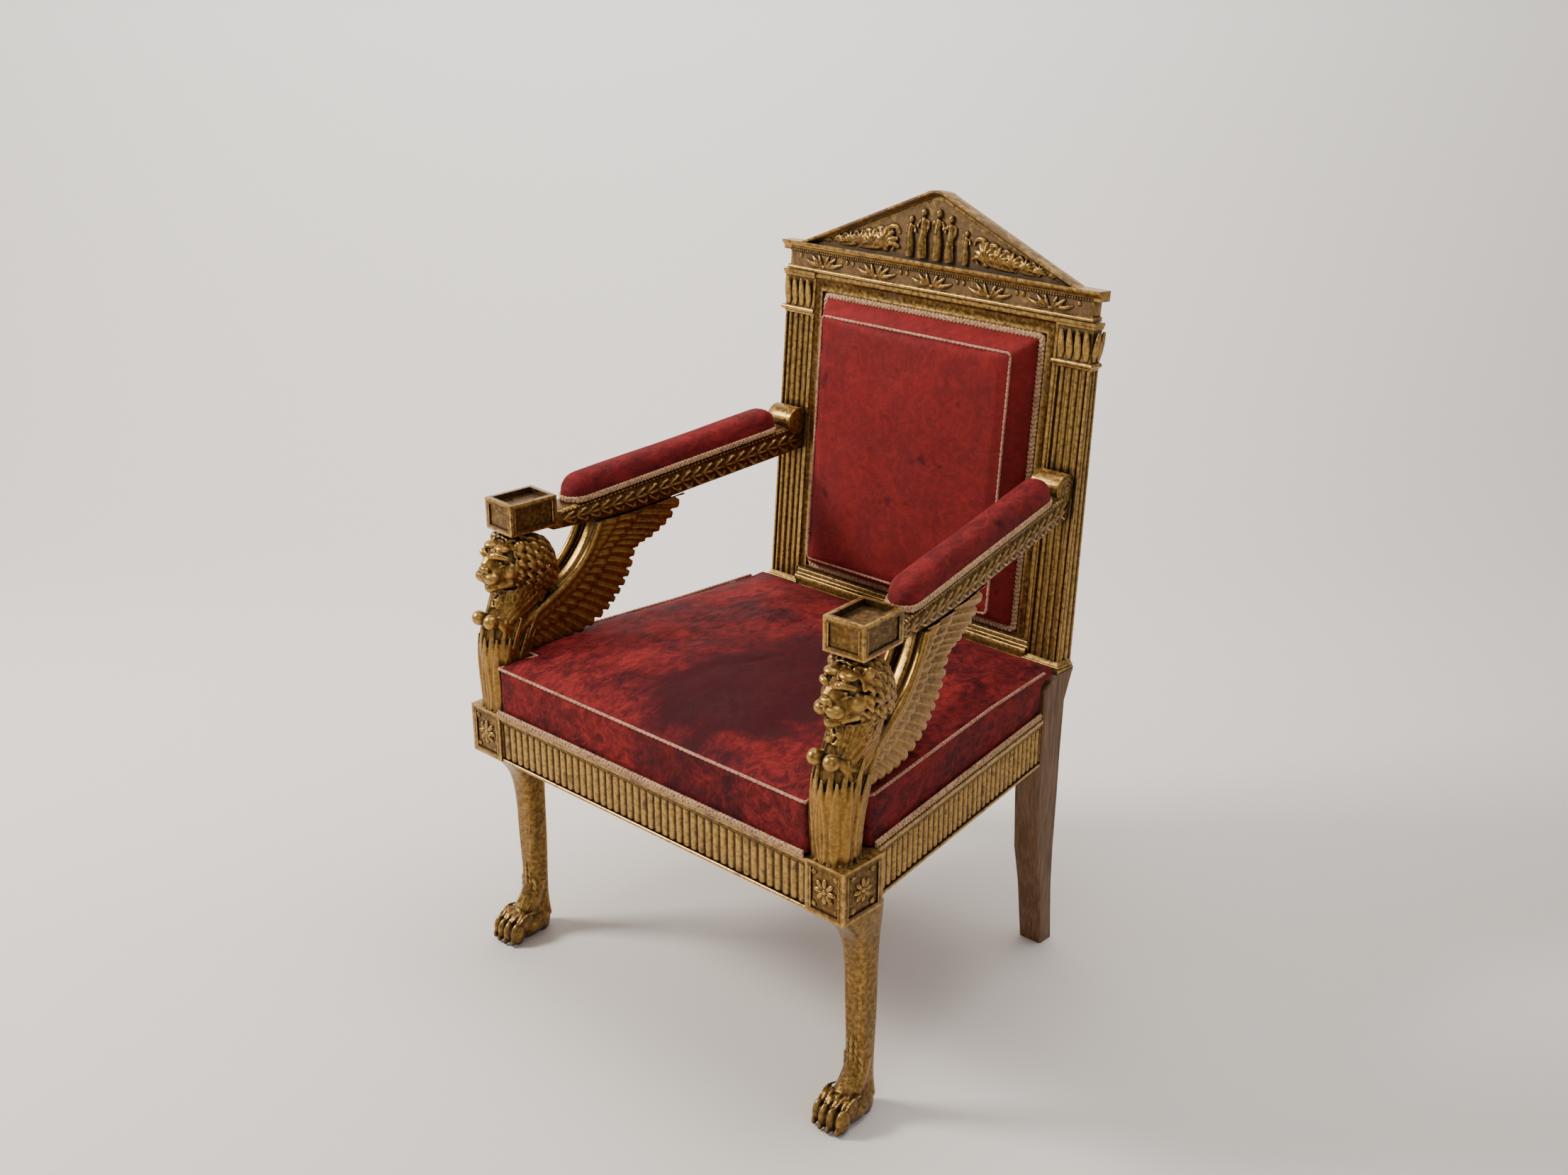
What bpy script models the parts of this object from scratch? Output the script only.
"""A gilt-wood throne armchair with winged lions under its arms and a pediment on its back.

Metres, +Z up. The throne faces -Y and stands on z = 0. The pieces are modelled from the front
face of the corner blocks (y = 0) backwards, and an empty then moves them all, so that the
origin lies on the floor under the middle of the throne.
"""

import math

import bmesh
import bpy
from mathutils import Matrix, Vector

# Whole throne
GAP = 0.0003  # left between pieces that touch
FRONT_WIDTH = 0.700  # across the outer faces of the two corner blocks
TAPER = math.radians(7.9)  # each side runs in towards the back by this much
FRONT_REACH = 0.0064  # how far the chest bosses stand in front of the corner blocks

# Corner blocks and front legs
BLOCK_W = 0.062
BLOCK_D = 0.074
BLOCK_BOTTOM = 0.314
BLOCK_H = 0.073
PANEL_EDGE = 0.009  # plain border left round a sunk panel
PANEL_SINK = 0.002
SHANK_D = 0.034  # the leg's middle, from front to rear
SHANK_Y = 0.073  # the shank stands this far behind the block's front
PAW_W = 0.056
PAW_L = 0.092
PAW_H = 0.044
TOES = 4

# Seat rails
RAIL_H = 0.072
RAIL_T = 0.026
RAIL_SET_BACK = 0.003  # behind the faces of the corner blocks
RAIL_MOULD_H = 0.011
RAIL_MOULD_OUT = 0.0025
FRONT_FLUTES = 32
SIDE_FLUTES = 24
FLUTE_DEPTH = 0.003
RAIL_FILLET_H = 0.0045
RAIL_FILLET_OUT = 0.0012
RAIL_END = 0.002  # plain wood beyond the last flute
END_INSET = 0.0008  # a moulding stops this short of the end of what it is carved on

# Rear legs and back posts
STILE_W = 0.0525
STILE_FRONT_Y = 0.506  # front face of the rear leg at the seat rails
LEG_INNER_X = 0.236
RAKE = math.radians(4.72)
BACK_Y = 0.5404  # front plane of the back, at the height BACK_Z
BACK_Z = 0.439
POST_D = 0.034  # of the post at its base
POST_TOP_D = 0.020
POST_FLUTES = 4
POST_SIDE_FLUTES = 2

# Heights up the raked back, from BACK_Z
BASE_BOTTOM = 0.001
BASE_TOP = 0.020
SHAFT_TOP = 0.4245
CAPITAL_TOP = 0.4955
ENTABLATURE_H = 0.033
CORNICE_H = 0.009
PEDIMENT_H = 0.100
PEDIMENT_IN = 0.0235  # its foot starts this far inside the end of the entablature
APEX_HALF = 0.019
APEX_FALL = 0.005  # the raking edges end this far below the rounded apex
CORNICE_OUT = 0.008
CORNICE_SIDE = 0.0124
CREST_IN = 0.0042  # the entablature's ends stand this far inside the posts' outer faces
RAKING_D = 0.014
GABLE_IN = 0.001  # the gable's faces stand this far, and four times this, inside the entablature's
RAKING_T = 0.009
FRIEZE_REPEATS = 4
RELIEF_SINK = 0.0004  # middle of each raised form, behind the face it stands on

# Back panel and its cross rail
PANEL_T = 0.014
PANEL_SET_BACK = 0.004
FRAME_T = 0.006

# Arms
HEAD_BLOCK_W = 0.060
HEAD_BLOCK_D = 0.078
HEAD_BLOCK_H = 0.045
HEAD_BLOCK_BOTTOM = 0.642
HEAD_BLOCK_FRONT_Y = 0.038
HEAD_BLOCK_SINK = 0.007
ARM_W = 0.044
ARM_FRONT_TOP = 0.660
ARM_REAR_TOP = 0.704
ARM_FRONT_T = 0.028
ARM_MIDDLE_T = 0.043
ARM_SCROLL_R = 0.021
ARM_X_SHIFT = 0.002
ARM_LEAVES = 7
ARM_SECTIONS = 9
ARM_RUN_IN = 0.002

# Upholstery
SEAT_TOP = 0.459
SEAT_CROWN = 0.030
SEAT_CLEAR = 0.002
SEAT_FLARE = 0.007  # the rear corners stand out this far beyond the straight sides
SEAT_FLARE_Y = 0.36  # where that begins
NOTCH_CLEAR = 0.009
NOTCH_BACK = 0.004  # the seat starts this far before the rear of the corner block
WING_OVER_SEAT = 0.010
PAD_W = 0.046
PAD_H = 0.036
PAD_START = 0.030  # behind the head block
PAD_END = 0.034  # in front of the back post
PAD_SECTIONS = 10
CUSHION_FROM_POST = 0.0298
CUSHION_BOTTOM = 0.050
CUSHION_TOP = 0.462
CUSHION_DEPTH = 0.038
CUSHION_SLOPE = 0.0217
CUSHION_CROWN = 0.008

# Lions, carved at this height and scaled to the space between the two blocks
LION_CARVED_H = 0.255
LION_STRAIGHT_Y = 0.055  # in front of this the lion faces straight ahead
WING_HALF_T = 0.017
FEATHER_FILL = 1.05  # of the half width that each feather has to itself
LION_TRIANGLES = 1240
LION_VOXEL = 0.0024
LEG_TRIANGLES = 420
LEG_VOXEL = 0.0025

# Values that follow
BLOCK_TOP = BLOCK_BOTTOM + BLOCK_H
BLOCK_X = FRONT_WIDTH / 2 - BLOCK_W / 2
RAIL_TOP = BLOCK_BOTTOM + RAIL_H
SLOPE_IN = math.tan(TAPER)
POST_X = BLOCK_X - SLOPE_IN * BACK_Y + ARM_X_SHIFT
POST_INNER = POST_X - STILE_W / 2
LEG_OUTER_X = FRONT_WIDTH / 2 - SLOPE_IN * STILE_FRONT_Y
CUSHION_W = 2 * (POST_INNER - CUSHION_FROM_POST)
CREST_HALF = POST_X + STILE_W / 2 - CREST_IN
CORNICE_HALF = CREST_HALF + CORNICE_SIDE
PEDIMENT_RUN = CREST_HALF - PEDIMENT_IN

GILT = (0.33, 0.19, 0.06)
WORN_GILT = (0.20, 0.11, 0.045)
VELVET = (0.19, 0.018, 0.022)


def back_point(x, depth, height):
    """A point of the raked back: depth behind its front plane, height up it from BACK_Z."""
    return Vector(
        (
            x,
            BACK_Y + depth * math.cos(RAKE) + height * math.sin(RAKE),
            BACK_Z - depth * math.sin(RAKE) + height * math.cos(RAKE),
        )
    )


def back_matrix():
    """From local x, depth and height to the raked back."""
    return Matrix.Translation((0, BACK_Y, BACK_Z)) @ Matrix.Rotation(-RAKE, 4, "X")


PEDIMENT_FOOT = CAPITAL_TOP + ENTABLATURE_H + CORNICE_H
TOP_REAR_Y = back_point(0, POST_TOP_D - GABLE_IN, PEDIMENT_FOOT + PEDIMENT_H).y
ORIGIN_Y = (TOP_REAR_Y - FRONT_REACH) / 2


def arm_x(y):
    """Middle of an arm and of the lion under it, measured out from the throne's centre."""
    return BLOCK_X - SLOPE_IN * y + ARM_X_SHIFT * y / BACK_Y


ARM_START = HEAD_BLOCK_FRONT_Y + HEAD_BLOCK_D


def arm_share(y):
    return (y - ARM_START) / (BACK_Y - ARM_START)


def arm_top(y):
    return ARM_FRONT_TOP + (ARM_REAR_TOP - ARM_FRONT_TOP) * arm_share(y)


def arm_thickness(y):
    """Thin over the lion's neck, full from a third of the way back."""
    share = min(max(arm_share(y) / 0.4, 0.0), 1.0)
    return ARM_FRONT_T + (ARM_MIDDLE_T - ARM_FRONT_T) * math.sin(share * math.pi / 2)


def arm_bottom(y):
    return arm_top(y) - arm_thickness(y)


def arm_end_y():
    """Where the top of an arm meets the raked back."""
    return BACK_Y + (ARM_REAR_TOP - BACK_Z) * math.tan(RAKE)


def arm_stations():
    """The places along y at which an arm has a section, running a little into its ends."""
    start, end = ARM_START - ARM_RUN_IN, arm_end_y() + STILE_W / 2
    return [start + (end - start) * i / ARM_SECTIONS for i in range(ARM_SECTIONS + 1)]


# From an outline in x and z to one that stands up and runs back along +y
FACING_BACK = Matrix(((1, 0, 0, 0), (0, 0, 1, 0), (0, 1, 0, 0), (0, 0, 0, 1)))


# Making meshes


def collection(name):
    made = bpy.data.collections.new(name)
    bpy.context.scene.collection.children.link(made)
    return made


def material(name, colour, roughness, metallic):
    made = bpy.data.materials.new(name)
    made.use_nodes = True
    shader = made.node_tree.nodes["Principled BSDF"]
    shader.inputs["Base Color"].default_value = (*colour, 1)
    shader.inputs["Roughness"].default_value = roughness
    shader.inputs["Metallic"].default_value = metallic
    made.diffuse_color = (*colour, 1)
    return made


def mesh_from(bm):
    bmesh.ops.recalc_face_normals(bm, faces=bm.faces)
    mesh = bpy.data.meshes.new("shape")
    bm.to_mesh(mesh)
    bm.free()
    return mesh


def slab(outline, thickness, matrix=None):
    """A flat outline in local x, y with this thickness along local z, from 0 up."""
    curve = bpy.data.curves.new("outline", "CURVE")
    curve.dimensions = "2D"
    curve.fill_mode = "BOTH"
    curve.extrude = thickness / 2
    spline = curve.splines.new("POLY")
    spline.points.add(len(outline) - 1)
    for point, (x, y) in zip(spline.points, outline):
        point.co = (x, y, 0, 1)
    spline.use_cyclic_u = True
    shape = bpy.data.objects.new("outline", curve)
    bpy.context.scene.collection.objects.link(shape)
    bpy.context.view_layer.update()
    mesh = bpy.data.meshes.new_from_object(
        shape.evaluated_get(bpy.context.evaluated_depsgraph_get())
    )
    bpy.data.objects.remove(shape)
    bpy.data.curves.remove(curve)
    bm = bmesh.new()
    bm.from_mesh(mesh)
    bpy.data.meshes.remove(mesh)
    bmesh.ops.remove_doubles(bm, verts=bm.verts, dist=1e-6)
    bmesh.ops.translate(bm, verts=bm.verts, vec=(0, 0, thickness / 2))
    if matrix:
        bmesh.ops.transform(bm, matrix=matrix, verts=bm.verts)
    return mesh_from(bm)


def upright(outline, x0, x1):
    """An outline in y, z that runs from x0 to x1."""
    turn = Matrix(((0, 0, 1, x0), (1, 0, 0, 0), (0, 1, 0, 0), (0, 0, 0, 1)))
    return slab(outline, x1 - x0, turn)


def box(low, high, matrix=None):
    bm = bmesh.new()
    bmesh.ops.create_cube(bm, size=1)
    size = Vector(high) - Vector(low)
    bmesh.ops.scale(bm, vec=size, verts=bm.verts)
    bmesh.ops.translate(bm, vec=(Vector(low) + Vector(high)) / 2, verts=bm.verts)
    if matrix:
        bmesh.ops.transform(bm, matrix=matrix, verts=bm.verts)
    return mesh_from(bm)


def ball(centre, radii, matrix=None, rings=8):
    """An ellipsoid."""
    bm = bmesh.new()
    bmesh.ops.create_uvsphere(bm, u_segments=2 * rings, v_segments=rings, radius=1)
    bmesh.ops.scale(bm, vec=radii, verts=bm.verts)
    bmesh.ops.translate(bm, vec=centre, verts=bm.verts)
    if matrix:
        bmesh.ops.transform(bm, matrix=matrix, verts=bm.verts)
    return mesh_from(bm)


def oval(centre, across, up, power=2.0, sides=12):
    """A ring of points on a superellipse with these half axes."""
    ring = []
    for i in range(sides):
        angle = 2 * math.pi * (i + 0.5) / sides
        c, s = math.cos(angle), math.sin(angle)
        c = math.copysign(abs(c) ** (2 / power), c)
        s = math.copysign(abs(s) ** (2 / power), s)
        ring.append(Vector(centre) + Vector(across) * c + Vector(up) * s)
    return ring


def loft(rings):
    """A closed skin through rings of equal count."""
    bm = bmesh.new()
    made = [[bm.verts.new(point) for point in ring] for ring in rings]
    for first, second in zip(made, made[1:]):
        for i in range(len(first)):
            j = (i + 1) % len(first)
            bm.faces.new((first[i], first[j], second[j], second[i]))
    bm.faces.new(made[0][::-1])
    bm.faces.new(made[-1])
    return mesh_from(bm)


def triangulated(mesh):
    """The mesh with no face that could be warped."""
    bm = bmesh.new()
    bm.from_mesh(mesh)
    bpy.data.meshes.remove(mesh)
    bmesh.ops.triangulate(bm, faces=bm.faces)
    return mesh_from(bm)


def flattened(mesh):
    """The mesh with its coplanar faces merged and its straight edges whole."""
    bm = bmesh.new()
    bm.from_mesh(mesh)
    bpy.data.meshes.remove(mesh)
    bmesh.ops.dissolve_limit(
        bm, angle_limit=math.radians(0.1), verts=bm.verts, edges=bm.edges
    )
    return mesh_from(bm)


def tapered(points, widths, flat=(1, 0, 0), thin=1.0, sides=8):
    """A blade or a roll along the points: half widths, and thin times that along flat."""
    rings = []
    points = [Vector(p) for p in points]
    for i, (point, width) in enumerate(zip(points, widths)):
        along = (points[min(i + 1, len(points) - 1)] - points[max(i - 1, 0)]).normalized()
        side = Vector(flat) - along * along.dot(Vector(flat))
        side.normalize()
        across = along.cross(side)
        rings.append(oval(point, across * width, side * width * thin, 2, sides))
    return loft(rings)


def joined(meshes):
    """Several closed meshes in one, not yet fused."""
    bm = bmesh.new()
    for mesh in meshes:
        bm.from_mesh(mesh)
        bpy.data.meshes.remove(mesh)
    mesh = bpy.data.meshes.new("shape")
    bm.to_mesh(mesh)
    bm.free()
    return mesh


def evaluated(mesh, set_up):
    """The mesh after the modifiers that set_up adds to an object that holds it."""
    holder = bpy.data.objects.new("holder", mesh)
    bpy.context.scene.collection.objects.link(holder)
    set_up(holder)
    bpy.context.view_layer.update()
    result = bpy.data.meshes.new_from_object(
        holder.evaluated_get(bpy.context.evaluated_depsgraph_get())
    )
    bpy.data.objects.remove(holder)
    bpy.data.meshes.remove(mesh)
    return result


def carved(meshes, triangles, voxel):
    """Overlapping masses fused into one skin with about this many triangles."""

    def remesh(holder):
        modifier = holder.modifiers.new("Fuse", "REMESH")
        modifier.mode = "VOXEL"
        modifier.voxel_size = voxel
        modifier.adaptivity = 0

    fused = evaluated(joined(meshes), remesh)
    ratio = triangles / (2 * len(fused.polygons))

    def thin_out(holder):
        modifier = holder.modifiers.new("Facets", "DECIMATE")
        modifier.ratio = min(ratio, 1)

    return evaluated(fused, thin_out)


def combined(base, others, operation):
    """The base with each other mesh joined to it or cut from it."""
    for other in others:
        helper = bpy.data.objects.new("helper", other)
        bpy.context.scene.collection.objects.link(helper)

        def add_boolean(holder, helper=helper):
            modifier = holder.modifiers.new("Join or cut", "BOOLEAN")
            modifier.operation = operation
            modifier.solver = "EXACT"
            modifier.object = helper

        base = evaluated(base, add_boolean)
        bpy.data.objects.remove(helper)
        bpy.data.meshes.remove(other)
    return base


def union(base, others):
    return combined(base, others, "UNION")


def cut(base, others):
    return combined(base, others, "DIFFERENCE")


def mirrored(mesh):
    """A copy on the other side of the throne."""
    bm = bmesh.new()
    bm.from_mesh(mesh)
    bmesh.ops.scale(bm, vec=(-1, 1, 1), verts=bm.verts)
    bmesh.ops.reverse_faces(bm, faces=bm.faces)
    copy = bpy.data.meshes.new("shape")
    bm.to_mesh(copy)
    bm.free()
    return copy


class Throne:
    """The collection, the empty that every piece hangs from, and the three finishes."""

    def __init__(self):
        self.pieces = collection("throne")
        self.root = bpy.data.objects.new("throne_origin", None)
        self.root.location = (0, -ORIGIN_Y, 0)
        self.pieces.objects.link(self.root)
        self.gilt = material("gilt_wood", GILT, 0.38, 0.75)
        self.worn = material("worn_gilt", WORN_GILT, 0.5, 0.5)
        self.velvet = material("velvet", VELVET, 0.9, 0.0)

    def piece(self, name, mesh, finish, smooth=35):
        mesh.name = name
        mesh.materials.clear()
        mesh.materials.append(finish)
        mesh.shade_smooth()
        mesh.set_sharp_from_angle(angle=math.radians(smooth))
        made = bpy.data.objects.new(name, mesh)
        made.parent = self.root
        self.pieces.objects.link(made)

    def pair(self, name, mesh, finish):
        self.piece(name + "_left", mirrored(mesh), finish)
        self.piece(name + "_right", mesh, finish)


# Fluting


def fluted_run(length, count, depth, start=0.0):
    """Points of an edge along x with this many raised bars, the grooves sunk in +y."""
    pitch = length / count
    land = 0.30 * pitch
    shoulder = 0.12 * pitch
    points = []
    for i in range(count):
        left = start + i * pitch + (pitch - 2 * land - 2 * shoulder) / 2
        points += [
            (left, depth),
            (left + shoulder, 0.0),
            (left + shoulder + 2 * land, 0.0),
            (left + 2 * shoulder + 2 * land, depth),
        ]
    return points


def fluted_rail(length, count):
    """A rail along x from 0, its face at y = 0, its bottom at z = 0."""
    face = fluted_run(length - 2 * RAIL_END, count, FLUTE_DEPTH, RAIL_END)
    face = [(0, 0), (RAIL_END / 2, 0), *face, (length - RAIL_END / 2, 0), (length, 0)]
    rear = [(length, RAIL_T), (0, RAIL_T)]

    def level(z, out=None):
        front = face if out is None else [(x, -out) for x, y in face]
        return [Vector((x, y, z)) for x, y in front + rear]

    mould_z = RAIL_H - RAIL_MOULD_H
    return flattened(
        loft(
            [
                level(0, RAIL_FILLET_OUT),
                level(RAIL_FILLET_H, RAIL_FILLET_OUT),
                level(RAIL_FILLET_H),
                level(mould_z),
                level(mould_z, RAIL_MOULD_OUT * 0.6),
                level(mould_z + RAIL_MOULD_H * 0.3, RAIL_MOULD_OUT * 0.6),
                level(mould_z + RAIL_MOULD_H * 0.4, RAIL_MOULD_OUT),
                level(RAIL_H, RAIL_MOULD_OUT),
            ]
        )
    )


# Front legs


def sunk_panels(width, depth, height):
    """Cutters for the front and outer panels of a block whose low corner is the origin."""
    edge = PANEL_EDGE
    return [
        box((edge, -0.01, edge), (width - edge, PANEL_SINK, height - edge)),
        box(
            (width - PANEL_SINK, edge, edge),
            (width + 0.01, depth - edge, height - edge),
        ),
    ]


def moved(mesh, offset):
    mesh.transform(Matrix.Translation(offset))
    return mesh


def paw_masses(x):
    """A lion's paw, its toes towards -y, on the floor."""
    heel = SHANK_Y + SHANK_D / 2 + 0.001
    toe = heel - PAW_L
    w, d, h = PAW_W, PAW_L, PAW_H
    masses = [
        ball((x, heel - 0.46 * d, 0.40 * h), (0.43 * w, 0.42 * d, 0.54 * h)),
        ball((x, heel - 0.22 * d, 0.36 * h), (0.36 * w, 0.22 * d, 0.60 * h)),
        tapered(
            [(x, SHANK_Y, 1.9 * h), (x, SHANK_Y - 0.010, 1.3 * h), (x, heel - 0.50 * d, 0.70 * h)],
            [0.30 * w, 0.31 * w, 0.33 * w],
        ),
    ]
    for i in range(TOES):
        share = (i + 0.5) / TOES - 0.5
        spread = x + share * w * 0.92
        y = toe + abs(share) * d * 0.14
        masses += [
            ball((x + share * w * 0.80, y + 0.32 * d, 0.62 * h), (0.150 * w, 0.17 * d, 0.36 * h)),
            ball((spread, y + 0.155 * d, 0.40 * h), (0.138 * w, 0.135 * d, 0.40 * h)),
            ball((spread, y + 0.045 * d, 0.17 * h), (0.065 * w, 0.055 * d, 0.15 * h)),
        ]
    return masses


def shank_rings(x):
    """Rounded square sections from the ankle up to the bracket under the block."""
    # Each row: height, half width, front face, rear face
    rear = SHANK_Y + SHANK_D / 2
    rows = [
        (0.020, 0.0165, 0.052, rear + 0.002),
        (0.050, 0.0145, 0.054, rear - 0.001),
        (0.085, 0.0150, 0.0565, rear - 0.0015),
        (0.150, 0.0165, 0.0560, rear),
        (0.220, 0.0175, 0.0550, rear),
        (0.262, 0.0195, 0.0520, rear),
        (0.285, 0.0225, 0.0420, rear),
        (0.303, 0.0265, 0.0240, rear),
        (0.318, 0.0290, 0.0060, rear),
    ]
    rings = []
    for z, half_w, front, back in rows:
        centre = (x, (front + back) / 2, z)
        rings.append(oval(centre, (half_w, 0, 0), (0, (back - front) / 2, 0), 4.5, 16))
    return rings


def front_leg():
    x = BLOCK_X
    masses = [loft(shank_rings(x)), *paw_masses(x)]
    for i in range(3):
        tuft = (x, SHANK_Y - SHANK_D * 0.45, PAW_H + 0.030 + 0.010 * i)
        masses.append(ball(tuft, (0.008 - 0.002 * i, 0.005, 0.010)))
    leg = carved(masses, LEG_TRIANGLES, LEG_VOXEL)
    under_floor = box((x - 0.1, -0.1, -0.05), (x + 0.1, 0.2, 0.0))
    side_rail_space = box((x - 0.1, BLOCK_D - END_INSET, BLOCK_BOTTOM - GAP), (x + 0.1, 0.2, 0.4))
    leg = cut(leg, [under_floor, side_rail_space])
    corner = Vector((x - BLOCK_W / 2, 0, BLOCK_BOTTOM))
    block = box(corner, corner + Vector((BLOCK_W, BLOCK_D, BLOCK_H)))
    panels = [moved(cutter, corner) for cutter in sunk_panels(BLOCK_W, BLOCK_D, BLOCK_H)]
    block = cut(block, panels)
    rosette = ball(
        (x, PANEL_SINK, BLOCK_BOTTOM + BLOCK_H / 2), (0.013, 0.0028, 0.019), rings=5
    )
    return union(block, [rosette, leg])


# Lions


def along(path, share):
    """The point at this share of a path of corners, with the corners taken as evenly spaced."""
    place = min(max(share, 0.0), 1.0) * (len(path) - 1)
    i = min(int(place), len(path) - 2)
    t = place - i
    return tuple(a + (b - a) * t for a, b in zip(path[i], path[i + 1]))


def lion_scale():
    return (HEAD_BLOCK_BOTTOM - BLOCK_TOP) / LION_CARVED_H


def lion_point(u, y, z):
    """From the carver's u (outwards), y (back) and z (up from the corner block)."""
    k = lion_scale()
    return Vector((arm_x(max(y * k, LION_STRAIGHT_Y)) + u * k, y * k, BLOCK_TOP + z * k))


def lion_ball(u, y, z, radii, rings=6):
    k = lion_scale()
    return ball(lion_point(u, y, z), [r * k for r in radii], rings=rings)


def lion_roll(points, widths, flat=(1, 0, 0), thin=1.0, sides=7):
    k = lion_scale()
    return tapered(
        [lion_point(*p) for p in points], [w * k for w in widths], flat, thin, sides
    )


def lion_body():
    """The leafy column that rises from the block to the chest."""
    # Each row: height, half width, middle y, half depth
    rows = [
        (-0.004, 0.0275, 0.0300, 0.0255),
        (0.010, 0.0265, 0.0295, 0.0245),
        (0.040, 0.0265, 0.0295, 0.0255),
        (0.070, 0.0275, 0.0325, 0.0285),
        (0.100, 0.0280, 0.0385, 0.0330),
        (0.125, 0.0275, 0.0480, 0.0370),
        (0.150, 0.0260, 0.0610, 0.0390),
        (0.175, 0.0250, 0.0710, 0.0400),
    ]
    k = lion_scale()
    rings = []
    for z, half_w, y, half_d in rows:
        centre = lion_point(0, y, z)
        rings.append(oval(centre, (half_w * k, 0, 0), (0, half_d * k, 0), 2.8, 16))
    return loft(rings)


def lion_head():
    """The face, looking along -y, with the skull and the neck behind it."""
    masses = [
        lion_ball(0, 0.074, 0.200, (0.029, 0.044, 0.044)),
        lion_ball(0, 0.052, 0.218, (0.025, 0.028, 0.028)),
        lion_roll([(0, 0.042, 0.206), (0, 0.022, 0.203), (0, 0.012, 0.201)], [0.018, 0.0155, 0.0120]),
        lion_roll([(0, 0.042, 0.232), (0, 0.021, 0.219), (0, 0.010, 0.211)], [0.009, 0.0066, 0.0060]),
        lion_ball(0, 0.0085, 0.2085, (0.0075, 0.0055, 0.0050)),
        lion_ball(0, 0.023, 0.184, (0.0112, 0.0130, 0.0080)),
    ]
    for side in (-1, 1):
        masses += [
            lion_ball(side * 0.0080, 0.0125, 0.1985, (0.0092, 0.0095, 0.0088)),
            lion_ball(side * 0.0185, 0.041, 0.206, (0.0095, 0.0130, 0.0125)),
            lion_ball(side * 0.0080, 0.033, 0.238, (0.0092, 0.0120, 0.0095)),
            lion_ball(side * 0.0118, 0.0240, 0.2205, (0.0050, 0.0045, 0.0042)),
            lion_ball(side * 0.0260, 0.053, 0.238, (0.0080, 0.0065, 0.0105)),
            lion_roll(
                [(side * 0.010, 0.021, 0.187), (side * 0.019, 0.042, 0.190)], [0.0062, 0.0082]
            ),
            lion_roll(
                [
                    (side * 0.004, 0.0225, 0.226),
                    (side * 0.012, 0.0225, 0.2300),
                    (side * 0.021, 0.0335, 0.226),
                ],
                [0.0050, 0.0054, 0.0042],
            ),
        ]
    return masses


MANE = (
    # y, middle height, half width, half height
    (0.032, 0.212, 0.0280, 0.0320),
    (0.050, 0.208, 0.0325, 0.0385),
    (0.072, 0.203, 0.0340, 0.0425),
    (0.096, 0.197, 0.0310, 0.0410),
    (0.116, 0.188, 0.0240, 0.0340),
)


def on_mane(share, angle, swell):
    """A point of the mane: back from the face, round from the crown, and out from its skin."""
    y, middle, half_w, half_h = along(MANE, share)
    return swell * half_w * math.sin(angle), y, middle + swell * half_h * math.cos(angle)


def mane_locks(rows, per_row, size):
    """Flame-shaped locks in rings round the face, each swept back and down to a curled tip."""
    masses = []
    for row in range(rows):
        start = 0.92 * row / rows
        for i in range(per_row):
            angle = math.radians(-160 + 320 * (i + 0.5 * (row % 2)) / (per_row - 0.5))
            turn = math.copysign(0.16, math.sin(angle))
            path = [
                on_mane(start, angle, 0.94),
                on_mane(start + 0.10, angle + turn * 0.4, 1.05),
                on_mane(start + 0.21, angle + turn, 1.05),
                on_mane(start + 0.27, angle + turn * 2.0, 0.99),
            ]
            masses.append(lion_roll(path, [size * 0.75, size, size * 0.85, size * 0.4], sides=6))
    return masses


def neck_locks(rows, per_row, size):
    """Longer, flatter locks that hang from the mane down the neck and the chest."""
    masses = []
    for row in range(rows):
        z = 0.178 - 0.042 * row / max(rows - 1, 1)
        for i in range(per_row):
            angle = math.radians(-125 + 250 * (i + 0.5 * (row % 2)) / (per_row - 0.5))
            half_w, half_d = 0.0270, 0.0400
            middle = 0.056 + 0.10 * (0.178 - z) * -2.4
            path = []
            for drop, swell in ((0.0, 0.94), (0.010, 1.02), (0.022, 1.03), (0.031, 0.98)):
                path.append(
                    (
                        swell * half_w * math.sin(angle),
                        middle - 0.24 * drop - swell * half_d * math.cos(angle) * (0.85 + drop * 3),
                        z - drop,
                    )
                )
            masses.append(lion_roll(path, [size * 0.6, size, size * 0.9, size * 0.35], sides=6))
    return masses


WING_LEAD = (
    (0.030, 0.108),
    (0.060, 0.124),
    (0.098, 0.146),
    (0.134, 0.170),
    (0.160, 0.198),
    (0.178, 0.228),
    (0.190, 0.262),
)
WING_TRAIL = (
    (0.060, 0.088),
    (0.096, 0.091),
    (0.132, 0.098),
    (0.168, 0.112),
    (0.202, 0.135),
    (0.228, 0.166),
    (0.246, 0.200),
    (0.284, 0.212),
    (0.318, 0.232),
    (0.345, 0.262),
)


def on_wing(up, across):
    """The y and z of a point of the wing: up along its edges, and across from front to rear."""
    y0, z0 = along(WING_LEAD, up)
    y1, z1 = along(WING_TRAIL, up)
    return y0 + (y1 - y0) * across, z0 + (z1 - z0) * across


def wing_strip(up, reach, across):
    """Half the width of the strip that reaches this far up and down, and its middle."""
    y, z = on_wing(up, across)
    y0, z0 = on_wing(up - reach, across)
    y1, z1 = on_wing(up + reach, across)
    return math.hypot(y1 - y0, z1 - z0) / 2, y, z


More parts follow.
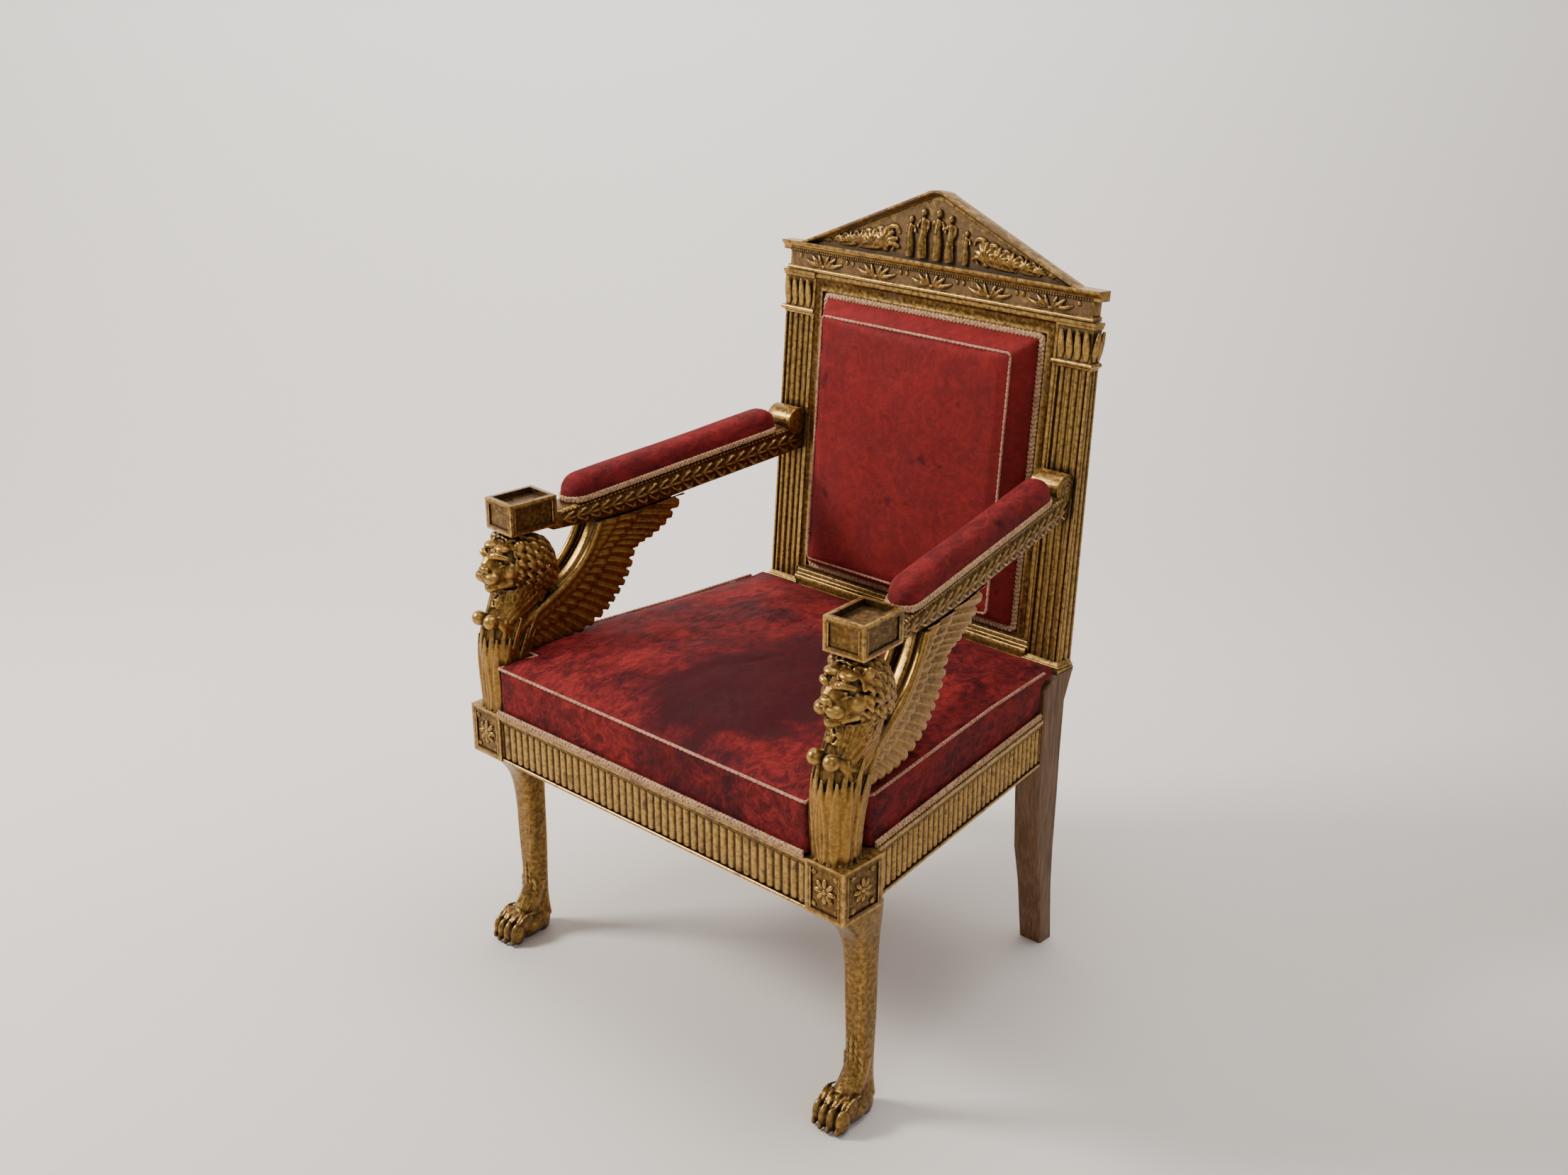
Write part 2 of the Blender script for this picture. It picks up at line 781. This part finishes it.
def wing(feathers):
    """The slab of both wings, their rolled front edges and their feathers."""
    k = lion_scale()
    steps = 14
    lead = [along(WING_LEAD, i / steps) for i in range(steps + 1)]
    trail = [along(WING_TRAIL, i / steps) for i in range(steps + 1)]
    rings = []
    for (y0, z0), (y1, z1) in zip(lead, trail):
        front = lion_point(0, y0, z0)
        rear = lion_point(0, y1, z1)
        middle = (front + rear) / 2
        half = (rear - front) / 2
        rings.append(oval(middle, half, (WING_HALF_T * k, 0, 0), 3.5, 12))
    masses = [loft(rings)]
    for side in (-1, 1):
        u = side * (WING_HALF_T + 0.002)
        edge = [(side * 0.022, *along(WING_LEAD, i / 9)) for i in range(10)]
        masses.append(lion_roll(edge, [0.0062] * 4 + [0.0056] * 6))
        for i in range(feathers):
            middle = (i + 0.5) / feathers
            points, widths = [], []
            for share in (0.04, 0.35, 0.7, 1.02):
                half, y, z = wing_strip(middle, 0.5 / feathers, share)
                points.append((u, y, z))
                widths.append(FEATHER_FILL * half)
            masses.append(lion_roll(points, widths, (1, 0, 0), 0.7, 6))
    return masses


def chest_bosses():
    masses = []
    for side in (-1, 1):
        masses += [
            lion_ball(side * 0.0125, 0.0050, 0.136, (0.0112, 0.0112, 0.0112)),
            lion_roll(
                [
                    (side * 0.0125, 0.009, 0.136),
                    (side * 0.0190, 0.020, 0.131),
                    (side * 0.0240, 0.036, 0.122),
                    (side * 0.0245, 0.046, 0.116),
                ],
                [0.008, 0.007, 0.006, 0.006],
            ),
        ]
    return masses


def column_leaves(count):
    """Ribs of the leaves that climb the column."""
    masses = []
    for i in range(count):
        angle = math.radians(-115 + 230 * i / (count - 1))
        u, dy = 0.0265 * math.sin(angle), -0.0250 * math.cos(angle)
        reach = 0.112 if i % 2 else 0.092
        masses.append(
            lion_roll(
                [
                    (u * 0.98, 0.0295 + dy, 0.006),
                    (u, 0.0295 + dy * 1.04, reach * 0.45),
                    (u * 1.05, 0.0340 + dy * 1.20, reach * 0.8),
                    (u * 1.03, 0.0385 + dy * 1.34, reach),
                ],
                [0.0034, 0.0046, 0.0050, 0.0026],
                sides=6,
            )
        )
    return masses


def space_round_lion():
    """What the corner block, the head block and the arm take from the lion."""
    top = HEAD_BLOCK_BOTTOM - GAP
    under_arm = [(y, arm_bottom(y) - 2 * GAP) for y in arm_stations()]
    start = ARM_START - ARM_RUN_IN - GAP
    lid = [(-0.1, top), (start, top), (start, under_arm[0][1])]
    lid += under_arm[1:]
    lid += [(under_arm[-1][0], 0.9), (-0.1, 0.9)]
    over_seat = SEAT_TOP + WING_OVER_SEAT
    floor = [(-0.1, 0.2), (0.6, 0.2), (0.6, over_seat), (BLOCK_D - NOTCH_BACK - GAP, over_seat)]
    floor += [(BLOCK_D - NOTCH_BACK - GAP, BLOCK_TOP + GAP), (-0.1, BLOCK_TOP + GAP)]
    return [upright(lid, 0.1, 0.5), upright(floor, 0.1, 0.5)]


def lion():
    masses = [lion_body(), *lion_head(), *mane_locks(4, 10, 0.0072), *neck_locks(2, 7, 0.0055)]
    masses += [*wing(9), *chest_bosses(), *column_leaves(9)]
    return cut(carved(masses, LION_TRIANGLES, LION_VOXEL), space_round_lion())


# Rear legs and posts


def rear_leg():
    """The leg below the back, curved back to a slighter foot."""
    outer = LEG_OUTER_X
    # Each row: height, front face, rear face, inner face, outer face
    rows = [
        (0.0, 0.545, 0.574, LEG_INNER_X - 0.0035, outer - 0.0098),
        (0.100, 0.530, 0.561, LEG_INNER_X - 0.0027, outer - 0.0063),
        (0.165, 0.515, 0.557, LEG_INNER_X - 0.0020, outer - 0.0043),
        (0.250, 0.507, 0.5555, LEG_INNER_X, outer - 0.0018),
        (0.310, STILE_FRONT_Y, 0.553, LEG_INNER_X, outer),
        (0.400, STILE_FRONT_Y, 0.556, LEG_INNER_X, outer),
        (0.425, STILE_FRONT_Y, 0.566, LEG_INNER_X, outer),
        (0.4445, BACK_Y - 0.004, BACK_Y + POST_D - 0.001, LEG_INNER_X, outer),
    ]
    rings = []
    for z, front, rear, inside, outside in rows:
        corners = [(inside, front), (outside, front), (outside, rear), (inside, rear)]
        rings.append([Vector((x, y, z)) for x, y in corners])
    return triangulated(loft(rings))


def post_depth(height):
    """The posts grow thinner from the base to the top."""
    share = (height - BASE_BOTTOM) / (CAPITAL_TOP - BASE_BOTTOM)
    return POST_D + (POST_TOP_D - POST_D) * share


def post_section(x, height):
    """Plan of the fluted post at this height, its middle at x and its front at y = 0."""
    half = STILE_W / 2
    edge = 0.004
    depth = post_depth(height)
    front = fluted_run(STILE_W - 2 * edge, POST_FLUTES, FLUTE_DEPTH, edge - half)
    side_run = fluted_run(depth - 2 * edge, POST_SIDE_FLUTES, FLUTE_DEPTH * 0.7, edge)
    outer = [(half - y, across) for across, y in side_run]
    plan = [(-half, 0), *front, (half, 0), *outer, (half, depth), (-half, depth)]
    return [Vector((x + across, y, height)) for across, y in plan]


def moulded_step(inner, outer, low, high, out):
    """One square member round an upright post, standing out by this much."""
    rear = post_depth(high) - END_INSET - out / 8
    return box((inner - out, -out, low), (outer + out, rear, high))


def stile():
    x = POST_X
    half = STILE_W / 2
    shaft = triangulated(loft([post_section(x, BASE_BOTTOM), post_section(x, CAPITAL_TOP - GAP)]))
    inner, outer = x - half, x + half
    base_h = BASE_TOP - BASE_BOTTOM
    # Each row: low, high, how far it stands out
    rows = [
        (BASE_BOTTOM, BASE_BOTTOM + base_h * 0.55, 0.0060),
        (BASE_BOTTOM + base_h * 0.50, BASE_BOTTOM + base_h * 0.80, 0.0042),
        (BASE_BOTTOM + base_h * 0.75, BASE_TOP, 0.0020),
        (SHAFT_TOP + 0.010, SHAFT_TOP + 0.017, 0.0060),
        (SHAFT_TOP + 0.015, CAPITAL_TOP - 0.008, 0.0016),
        (CAPITAL_TOP - 0.010, CAPITAL_TOP - GAP * 2, 0.0040),
    ]
    steps = [moulded_step(inner, outer, low, high, out) for low, high, out in rows]
    leaves = []
    for i in range(3):
        leaf_x = x + (i - 1) * STILE_W / 3
        leaves.append(
            tapered(
                [
                    (leaf_x, -0.001, SHAFT_TOP + 0.018),
                    (leaf_x, -0.0035, SHAFT_TOP + 0.040),
                    (leaf_x, -0.0065, CAPITAL_TOP - 0.012),
                ],
                [0.0065, 0.007, 0.004],
                sides=6,
            )
        )
    post = cut(union(shaft, [*steps, *leaves]), space_beside_panel(inner))
    return union(rear_leg(), [on_back(post)])


def space_beside_panel(inner):
    """What the back panel and its lower rail take from the mouldings of a post."""
    low, high = BASE_BOTTOM - 0.05, CAPITAL_TOP + 0.05
    panel_front = PANEL_SET_BACK - FRAME_T - GAP
    return [
        box((inner - 0.05, panel_front, low), (inner, POST_D + 0.05, high)),
        box((inner - 0.05, -0.05, low), (inner, POST_D + 0.05, CUSHION_BOTTOM)),
    ]


# Back


def on_back(mesh):
    mesh.transform(back_matrix())
    return mesh


def lower_rail():
    """The moulded rail across the back, just above the seat."""
    half = POST_INNER - GAP
    low = BASE_BOTTOM
    high = CUSHION_BOTTOM - 0.012
    profile = [
        (POST_D - 0.004, low),
        (POST_D - 0.004, high),
        (PANEL_SET_BACK, high),
        (0.001, high - 0.004),
        (0.001, high - 0.009),
        (-0.004, high - 0.012),
        (-0.004, high - 0.019),
        (-0.001, high - 0.022),
        (-0.001, high - 0.027),
        (-0.006, high - 0.031),
        (-0.006, low),
    ]
    return on_back(upright(profile, -half, half))


def back_panel():
    """The board that fills the back, with a raised frame round the cushion."""
    half = POST_INNER - GAP
    low = CUSHION_BOTTOM - 0.012 + GAP
    high = CAPITAL_TOP - GAP
    d0 = PANEL_SET_BACK
    board = box((-half, d0, low), (half, d0 + PANEL_T, high))
    inner = CUSHION_W / 2 + 0.009
    bottom_in = CUSHION_BOTTOM - 0.005
    top_in = CUSHION_TOP + 0.006
    raised = box((-half, d0 - FRAME_T, low), (half, d0 + PANEL_T / 2, high))
    field = box((-inner, d0 - 0.05, bottom_in), (inner, d0 + 0.0001, top_in))
    step = box(
        (-half + 0.007, d0 - 0.05, low - 0.01), (half - 0.007, d0 - FRAME_T / 2, high - 0.006)
    )
    sunk_rear = box(
        (-half + 0.030, d0 + PANEL_T - 0.004, low + 0.030), (half - 0.030, d0 + 0.1, high - 0.030)
    )
    frame = cut(raised, [field, step])
    return on_back(cut(union(board, [frame]), [sunk_rear]))


def frieze_relief(low, high, face):
    """Repeats of a palmette between two scrolls along the frieze."""
    masses = []
    pitch = 2 * (CREST_HALF - 0.028) / FRIEZE_REPEATS
    mid = (low + high) / 2
    h = high - low
    for i in range(FRIEZE_REPEATS):
        x = -CREST_HALF + 0.028 + (i + 0.5) * pitch
        masses.append(ball((x, face, mid), (0.0050, 0.0040, h * 0.40), rings=3))
        for side in (-1, 1):
            masses += [
                ball((x + side * pitch * 0.17, face, mid + h * 0.10), (0.0075, 0.0036, h * 0.26), rings=3),
                ball((x + side * pitch * 0.34, face, mid - h * 0.08), (0.0100, 0.0034, h * 0.22), rings=3),
            ]
    return masses


def pediment_relief(face):
    """A standing group in the middle and lower, leafy forms towards the corners."""
    foot = PEDIMENT_FOOT + 0.004
    masses = []
    for i in range(-2, 3):
        height = (0.066 - 0.009 * abs(i)) * 0.5
        x = i * 0.021
        masses += [
            ball((x, face, foot + height * 0.9), (0.0075, 0.0045, height * 0.92), rings=3),
            ball((x + 0.001, face - 0.001, foot + height * 1.9), (0.0050, 0.0045, 0.0058), rings=3),
        ]
    for side in (-1, 1):
        for i in range(3):
            x = side * (0.078 + 0.036 * i)
            masses.append(
                ball((x, face, foot + 0.013 - 0.003 * i), (0.0192, 0.0042, 0.013 - 0.003 * i), rings=4)
            )
    return masses


def gable_edge(foot, less):
    """The top edge of the pediment from left to right, rounded at the apex."""
    apex = foot + PEDIMENT_H - less
    half = [(PEDIMENT_RUN - 3 * less, foot), (APEX_HALF, apex - APEX_FALL)]
    half += [(APEX_HALF * 0.6, apex - APEX_FALL * 0.3)]
    return [(-x, z) for x, z in half] + [(0, apex)] + half[::-1]


def crest():
    """Entablature, cornice and pediment, carved as one piece."""
    low = CAPITAL_TOP
    cornice = low + ENTABLATURE_H
    foot = cornice + CORNICE_H
    apex = foot + PEDIMENT_H
    rear = POST_TOP_D
    front = 0.0
    body = box((-CREST_HALF, front, low + GAP), (CREST_HALF, rear, cornice))
    ledge = 0.005
    lower_ledge = box(
        (-CREST_HALF - 0.003, front - 0.003, low + 2 * GAP),
        (CREST_HALF + 0.003, rear - END_INSET, low + ledge),
    )
    over = upright(
        [
            (rear - 2 * END_INSET, cornice - 0.005),
            (rear - 2 * END_INSET, foot),
            (front - CORNICE_OUT, foot),
            (front - CORNICE_OUT, foot - 0.005),
            (front - CORNICE_OUT * 0.45, cornice - 0.001),
            (front - CORNICE_OUT * 0.25, cornice - 0.005),
        ],
        -CORNICE_HALF,
        CORNICE_HALF,
    )
    slope = math.atan2(PEDIMENT_H - APEX_FALL, PEDIMENT_RUN - APEX_HALF)
    thick = RAKING_T / math.sin(slope)
    drop = RAKING_T / math.cos(slope)
    seat = foot - 0.004
    raking = slab(
        [
            (-PEDIMENT_RUN, seat),
            *gable_edge(foot, 0),
            (PEDIMENT_RUN, seat),
            (PEDIMENT_RUN - thick, seat),
            (APEX_HALF, apex - APEX_FALL - drop),
            (-APEX_HALF, apex - APEX_FALL - drop),
            (thick - PEDIMENT_RUN, seat),
        ],
        RAKING_D,
        FACING_BACK @ Matrix.Translation((0, 0, front - CORNICE_OUT * 0.8)),
    )
    less = 0.0012
    gable = slab(
        [
            (-PEDIMENT_RUN + 3 * less, seat - less),
            *gable_edge(foot, less),
            (PEDIMENT_RUN - 3 * less, seat - less),
        ],
        rear - front - 5 * GABLE_IN,
        FACING_BACK @ Matrix.Translation((0, 0, front + 4 * GABLE_IN)),
    )
    whole = union(body, [lower_ledge, over, gable, raking])
    frieze = joined(frieze_relief(low + ledge, cornice - 0.004, front + RELIEF_SINK))
    return on_back(union(whole, [frieze, *pediment_relief(front + 4 * GABLE_IN + RELIEF_SINK)]))


# Arms


def turned_block():
    """The square block on the lion's head, sunk on top and on its faces."""
    half = HEAD_BLOCK_W / 2
    low, high = HEAD_BLOCK_BOTTOM, HEAD_BLOCK_BOTTOM + HEAD_BLOCK_H
    y0, y1 = HEAD_BLOCK_FRONT_Y, ARM_START
    edge = PANEL_EDGE * 0.8
    block = box((-half, y0, low), (half, y1 + 0.006, high))
    cutters = [
        box((-half + edge, y0 + edge, high - HEAD_BLOCK_SINK), (half - edge, y1 - edge, high + 0.01)),
        box((-half + edge, y0 - 0.01, low + edge), (half - edge, y0 + PANEL_SINK, high - edge)),
    ]
    for side in (-1, 1):
        inside, outside = sorted((side * (half - PANEL_SINK), side * (half + 0.01)))
        cutters.append(box((inside, y0 + edge, low + edge), (outside, y1 - edge, high - edge)))
    block = cut(block, cutters)
    middle = (y0 + y1) / 2
    place = Matrix.Translation((arm_x(middle), middle, 0)) @ Matrix.Rotation(TAPER * 0.5, 4, "Z")
    block.transform(place @ Matrix.Translation((0, -middle, 0)))
    return block


def arm():
    end = arm_end_y()
    rings = []
    for y in arm_stations():
        half_t = arm_thickness(y) / 2
        rings.append(
            oval((arm_x(y), y, arm_top(y) - half_t), (ARM_W / 2, 0, 0), (0, 0, half_t), 5, 12)
        )
    rail = loft(rings)
    scroll_y = end - ARM_SCROLL_R * 0.72
    scroll_z = ARM_REAR_TOP + ARM_SCROLL_R * 0.30
    scroll = upright(
        [
            (scroll_y + ARM_SCROLL_R * math.cos(a), scroll_z + ARM_SCROLL_R * math.sin(a))
            for a in (2 * math.pi * i / 16 for i in range(16))
        ],
        arm_x(end) - ARM_W / 2 - 0.002,
        arm_x(end) + ARM_W / 2 + 0.003,
    )
    leaves = []
    for i in range(ARM_LEAVES):
        y = ARM_START + 0.03 + (end - ARM_START - 0.08) * i / (ARM_LEAVES - 1)
        for side in (-1, 1):
            leaves.append(
                ball(
                    (arm_x(y) + side * ARM_W / 2, y, arm_top(y) - arm_thickness(y) * 0.5),
                    (0.0022, 0.0175, arm_thickness(y) * 0.26),
                    rings=3,
                )
            )
    whole = union(turned_block(), [rail, scroll, *leaves])
    post_face = box((-0.5, -GAP, -0.3), (0.5, 0.3, 0.6), back_matrix())
    panel_side = box((0, -0.03, -0.3), (POST_INNER + GAP, 0.2, 0.6), back_matrix())
    return cut(whole, [post_face, panel_side])


# Upholstery


def quilted_block(columns, rows, place):
    """A closed block on a grid: place gives a point from shares across and along, and level."""
    bm = bmesh.new()
    levels = []
    for level in (0, 1):
        levels.append(
            [
                [bm.verts.new(place(i / columns, j / rows, level)) for i in range(columns + 1)]
                for j in range(rows + 1)
            ]
        )
    for grid in levels:
        for j in range(rows):
            for i in range(columns):
                bm.faces.new((grid[j][i], grid[j][i + 1], grid[j + 1][i + 1], grid[j + 1][i]))
    bmesh.ops.triangulate(bm, faces=bm.faces)
    low, high = levels
    rim = [(0, i) for i in range(columns)] + [(j, columns) for j in range(rows)]
    rim += [(rows, i) for i in range(columns, 0, -1)] + [(j, 0) for j in range(rows, 0, -1)]
    for (j, i), (m, n) in zip(rim, rim[1:] + rim[:1]):
        bm.faces.new((low[j][i], low[m][n], high[m][n], high[j][i]))
    return mesh_from(bm)


def crown(u, v):
    """From 0 at the rim to 1 in the middle."""
    return (1 - (2 * u - 1) ** 2) * (1 - (2 * v - 1) ** 2)


def seat_rear_y():
    return back_point(0, -0.009, BASE_BOTTOM).y - SEAT_CLEAR


def seat_cushion():
    low = max(RAIL_TOP, BLOCK_TOP) + GAP
    front = 0.001
    rear = seat_rear_y()

    def place(u, v, level):
        y = front + (rear - front) * v
        flare = max(0.0, (y - SEAT_FLARE_Y) / (rear - SEAT_FLARE_Y)) * level
        half = FRONT_WIDTH / 2 - RAIL_SET_BACK - 0.003 - SLOPE_IN * y + SEAT_FLARE * flare
        z = SEAT_TOP + SEAT_CROWN * crown(u, v) if level else low
        return ((2 * u - 1) * half, y, z)

    cushion = quilted_block(6, 7, place)
    notches = []
    for side in (-1, 1):
        inside = side * (FRONT_WIDTH / 2 - BLOCK_W - NOTCH_CLEAR)
        outside = side * FRONT_WIDTH
        a, b = sorted((inside, outside))
        notches.append(box((a, -0.1, 0.3), (b, BLOCK_D - NOTCH_BACK, 0.6)))
        post_inside = side * (POST_INNER - 2 * SEAT_CLEAR)
        a, b = sorted((post_inside, outside))
        notches.append(box((a, STILE_FRONT_Y - SEAT_CLEAR, 0.3), (b, 0.8, 0.6)))
    return cut(cushion, notches)


def back_cushion():
    d0 = PANEL_SET_BACK - GAP

    def place(u, v, level):
        slope = CUSHION_SLOPE * level
        half = CUSHION_W / 2 - slope
        low = CUSHION_BOTTOM + slope * 0.93
        high = CUSHION_TOP - slope * 0.9
        depth = d0 - level * (CUSHION_DEPTH + CUSHION_CROWN * crown(u, v))
        return back_point((2 * u - 1) * half, depth, low + (high - low) * v)

    return quilted_block(6, 6, place)


def arm_pad():
    start = ARM_START + PAD_START
    end = arm_end_y() - PAD_END - ARM_SCROLL_R * 0.6
    length = end - start
    rings = []
    for i in range(PAD_SECTIONS + 1):
        share = i / PAD_SECTIONS
        fall = math.sin(math.pi * min(share, 1 - share, 0.10) / 0.20)
        fall = 0.45 + 0.55 * fall
        y = start + length * share
        base = arm_top(y) + GAP
        ring = []
        for j in range(9):
            a = math.pi * j / 8
            ring.append(
                Vector(
                    (
                        arm_x(y) + PAD_W / 2 * fall * math.cos(a),
                        y,
                        base + PAD_H * fall * math.sin(a) ** 0.75,
                    )
                )
            )
        rings.append(ring)
    return loft(rings)


# Rails between the legs


def front_rail():
    half = FRONT_WIDTH / 2 - BLOCK_W - GAP
    rail = fluted_rail(2 * half, FRONT_FLUTES)
    return moved(rail, (-half, RAIL_SET_BACK, BLOCK_BOTTOM))


def side_rail():
    """Turned in by the taper, and cut off by the corner block and the rear leg."""
    length = (STILE_FRONT_Y - BLOCK_D) / math.cos(TAPER)
    rail = fluted_rail(length + 0.02, SIDE_FLUTES)
    # Its face looks out along +x and its length runs back along the tapering side.
    start = Vector((FRONT_WIDTH / 2 - RAIL_SET_BACK - SLOPE_IN * BLOCK_D, BLOCK_D, BLOCK_BOTTOM))
    turn = Matrix.Rotation(math.pi / 2 + TAPER, 4, "Z")
    rail.transform(Matrix.Translation(start) @ turn @ Matrix.Translation((-0.01, 0, 0)))
    ends = [
        box((0, -0.2, 0), (0.6, BLOCK_D + GAP, 0.6)),
        box((0, STILE_FRONT_Y - GAP, 0), (0.6, 0.9, 0.6)),
    ]
    return cut(rail, ends)


def rear_rail():
    half = LEG_INNER_X - GAP
    y0 = STILE_FRONT_Y + 0.010
    return box((-half, y0, BLOCK_BOTTOM), (half, y0 + RAIL_T, RAIL_TOP))


def main():
    for old in list(bpy.data.objects):
        bpy.data.objects.remove(old)
    throne = Throne()
    throne.pair("front_leg", front_leg(), throne.gilt)
    throne.pair("lion", lion(), throne.gilt)
    throne.pair("arm", arm(), throne.gilt)
    throne.pair("side_rail", side_rail(), throne.gilt)
    throne.pair("stile", stile(), throne.gilt)
    throne.pair("arm_pad", arm_pad(), throne.velvet)
    throne.piece("front_rail", front_rail(), throne.gilt)
    throne.piece("rear_rail", rear_rail(), throne.worn)
    throne.piece("lower_back_rail", lower_rail(), throne.gilt)
    throne.piece("back_panel", back_panel(), throne.gilt)
    throne.piece("crest", crest(), throne.gilt)
    throne.piece("seat_cushion", seat_cushion(), throne.velvet)
    throne.piece("back_cushion", back_cushion(), throne.velvet)
    bpy.context.view_layer.update()


main()
